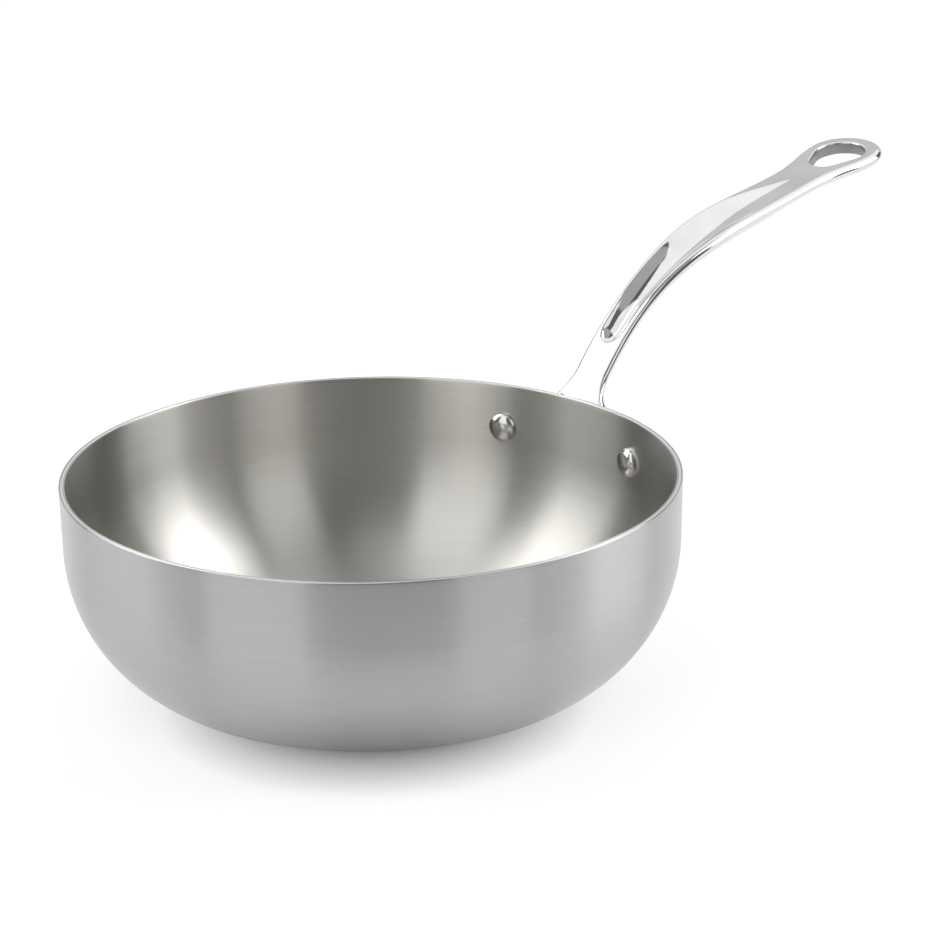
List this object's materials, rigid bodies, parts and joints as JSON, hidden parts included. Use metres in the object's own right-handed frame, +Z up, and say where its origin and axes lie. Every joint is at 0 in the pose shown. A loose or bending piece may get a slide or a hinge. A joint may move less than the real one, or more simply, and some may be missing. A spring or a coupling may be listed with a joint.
{
  "type": "deep saute pan",
  "caption": "Deep saute pan with rounded sides: a clad stainless steel bowl on a flat base, with a bent cast handle riveted to the wall, a thumb scoop and a hanging hole.",
  "frame": {"origin": "centre of the flat base, on the surface that the pan stands on", "axes": "+Z up along the bowl's axis, +X along the handle away from the bowl, +Y to the left of the handle as seen from the bowl"},
  "size_m": [0.4355, 0.2426, 0.1541],
  "materials": {
    "brushed_outside": "stainless steel, brushed around the bowl",
    "core_metal": "bare aluminium, seen only as a thin line at the rim",
    "brushed_inside": "stainless steel, brushed around the bowl",
    "polished_casting": "cast stainless steel, mirror polished",
    "rivet_metal": "stainless steel, tumbled bright"
  },
  "bodies": {
    "root": {"outer_ply": "brushed_outside", "aluminium_core": "core_metal", "inner_ply": "brushed_inside", "handle": "polished_casting", "rivet_left": "rivet_metal", "rivet_right": "rivet_metal"}
  },
  "joints": []
}
